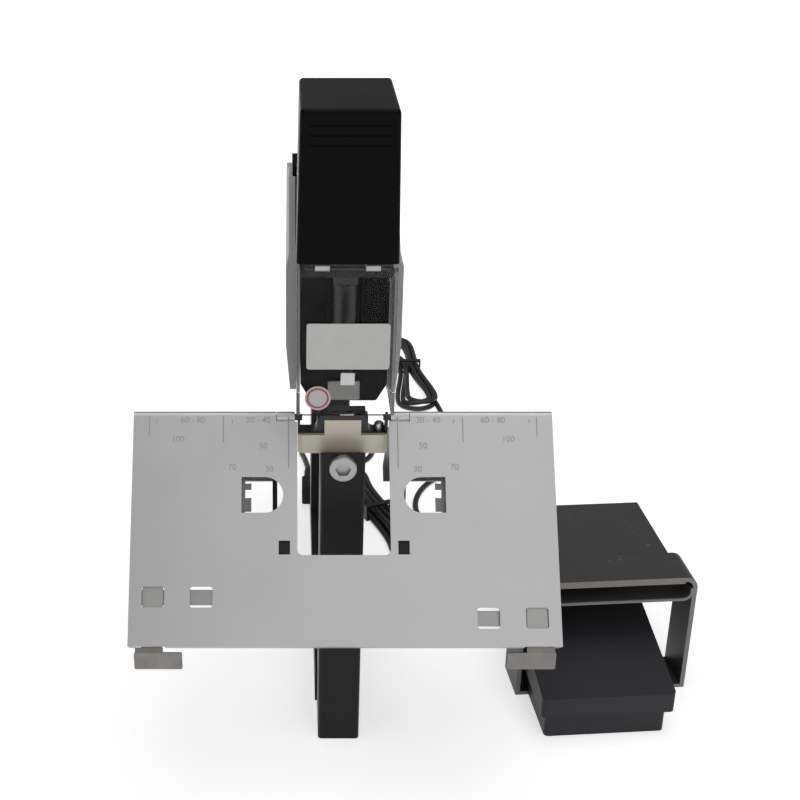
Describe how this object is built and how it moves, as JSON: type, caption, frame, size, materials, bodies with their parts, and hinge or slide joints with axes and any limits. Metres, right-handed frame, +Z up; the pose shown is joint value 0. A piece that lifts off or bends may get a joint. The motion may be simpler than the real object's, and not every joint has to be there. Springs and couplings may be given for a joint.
{
  "type": "electric stapler",
  "caption": "Electric saddle and flat stapler: black solenoid hood and clear guard over a folding steel table on a column, with a foot pedal under a bent steel guard.",
  "frame": {"origin": "on the floor, under the middle of the staple line, on the bottom of the column's rubber foot", "axes": "+Z up, +Y from the operator to the back of the head, +X to the operator's right"},
  "size_m": [0.3585, 0.7283, 0.412],
  "materials": {
    "table_steel": "bright zinc plate",
    "tee_steel": "yellow zinc",
    "dark_steel": "hardened, dark",
    "frame_black": "satin black",
    "head_grey": "light grey",
    "cover_black": "fine matt",
    "guard_clear": "clear",
    "pedal_black": "matt",
    "pedal_steel": "dark grey",
    "rubber_black": "soft black",
    "copper_wound": "taped coil",
    "board_green": "circuit board",
    "spring_steel": "bright",
    "rocker_black": "gloss black"
  },
  "bodies": {
    "machine": {"anvil": "dark_steel", "anvil_block": "dark_steel", "anvil_bracket": "tee_steel", "anvil_column": "frame_black", "anvil_screw": "dark_steel", "base_beam": "frame_black", "cable_block": "rubber_black", "circuit_board": "board_green", "cord_ties": "rubber_black", "cross_foot": "frame_black", "frame_plates": "frame_black", "front_cover": "cover_black", "front_crossbar": "head_grey", "guard_hood": "pedal_steel", "guard_shelf": "pedal_steel", "guard_strap": "pedal_steel", "head_core": "frame_black", "hinge_pins": "spring_steel", "housing_left": "head_grey", "housing_right": "head_grey", "leaf_support_front": "frame_black", "leaf_support_rear": "frame_black", "magazine": "spring_steel", "mains_lead": "rubber_black", "mains_lead_hank": "rubber_black", "mains_plug": "rubber_black", "nose_plate": "spring_steel", "pedal_base": "pedal_black", "pedal_lead": "rubber_black", "pedal_lead_hank": "rubber_black", "pedal_spring": "spring_steel", "pedal_switch": "rocker_black", "pivot_rails": "dark_steel", "pusher_spring": "spring_steel", "rear_panel": "head_grey", "rear_post": "frame_black", "rear_top_cover": "cover_black", "return_spring": "spring_steel", "rocker_bezel": "rocker_black", "rubber_feet": "rubber_black", "small_screws": "spring_steel", "solenoid_coil": "copper_wound", "solenoid_yoke": "spring_steel", "spring_seat": "spring_steel", "staples": "spring_steel", "strain_reliefs": "rubber_black"},
    "front_leaf": {"front_leaf": "table_steel", "leaf_clips": "dark_steel"},
    "rear_leaf_left": {"rear_leaf_left": "table_steel"},
    "rear_leaf_right": {"rear_leaf_right": "table_steel"},
    "stop_left": {"paper_stop_left": "table_steel"},
    "stop_right": {"paper_stop_right": "table_steel"},
    "guard": {"finger_guard": "guard_clear"},
    "driver": {"plunger": "spring_steel", "driver_blade": "spring_steel"},
    "pusher": {"staple_pusher": "spring_steel"},
    "latch": {"jam_latch": "spring_steel"},
    "rocker": {"power_rocker": "rocker_black"},
    "treadle": {"pedal_treadle": "pedal_black"}
  },
  "joints": [
    {"name": "front_leaf_fold", "type": "hinge", "parent": "machine", "child": "front_leaf", "pos_m": [0, 0, 0.22175], "axis": [1, 0, 0], "range_deg": [-50.7, 0]},
    {"name": "rear_leaf_left_fold", "type": "hinge", "parent": "machine", "child": "rear_leaf_left", "pos_m": [0, 0, 0.22175], "axis": [1, 0, 0], "range_deg": [0, 50.7]},
    {"name": "rear_leaf_right_fold", "type": "hinge", "parent": "machine", "child": "rear_leaf_right", "pos_m": [0, 0, 0.22175], "axis": [1, 0, 0], "range_deg": [0, 50.7]},
    {"name": "paper_stop_left_slide", "type": "slide", "parent": "front_leaf", "child": "stop_left", "axis": [0, -0.6334, -0.7738], "range_m": [0, 0.04]},
    {"name": "paper_stop_right_slide", "type": "slide", "parent": "front_leaf", "child": "stop_right", "axis": [0, -0.6334, -0.7738], "range_m": [0, 0.04]},
    {"name": "guard_swing", "type": "hinge", "parent": "machine", "child": "guard", "pos_m": [0, -0.034, 0.3263], "axis": [1, 0, 0], "range_deg": [-80, 0]},
    {"name": "driver_stroke", "type": "slide", "parent": "machine", "child": "driver", "axis": [0, 0, -1], "range_m": [0, 0.01], "stiffness_N_per_m": 600, "springref_m": -0.01, "deforming": ["return_spring"]},
    {"name": "staple_pusher_slide", "type": "slide", "parent": "machine", "child": "pusher", "axis": [0, 1, 0], "range_m": [0, 0.06], "stiffness_N_per_m": 20, "springref_m": -0.02},
    {"name": "jam_latch_press", "type": "hinge", "parent": "machine", "child": "latch", "pos_m": [0.002, -0.0043, 0.2533], "axis": [1, 0, 0], "range_deg": [0, 10], "stiffness_Nm_per_rad": 0.05, "springref_deg": -5.73},
    {"name": "power_rocker_tilt", "type": "hinge", "parent": "machine", "child": "rocker", "pos_m": [0, 0.3015, 0.263], "axis": [1, 0, 0], "range_deg": [0, 16]},
    {"name": "pedal_press", "type": "hinge", "parent": "machine", "child": "treadle", "pos_m": [0.16967, 0.00047, 0.0215], "axis": [0.9971, 0.0767, 0], "range_deg": [-5, 0], "stiffness_Nm_per_rad": 6, "springref_deg": 5.73, "deforming": ["pedal_spring"]}
  ]
}
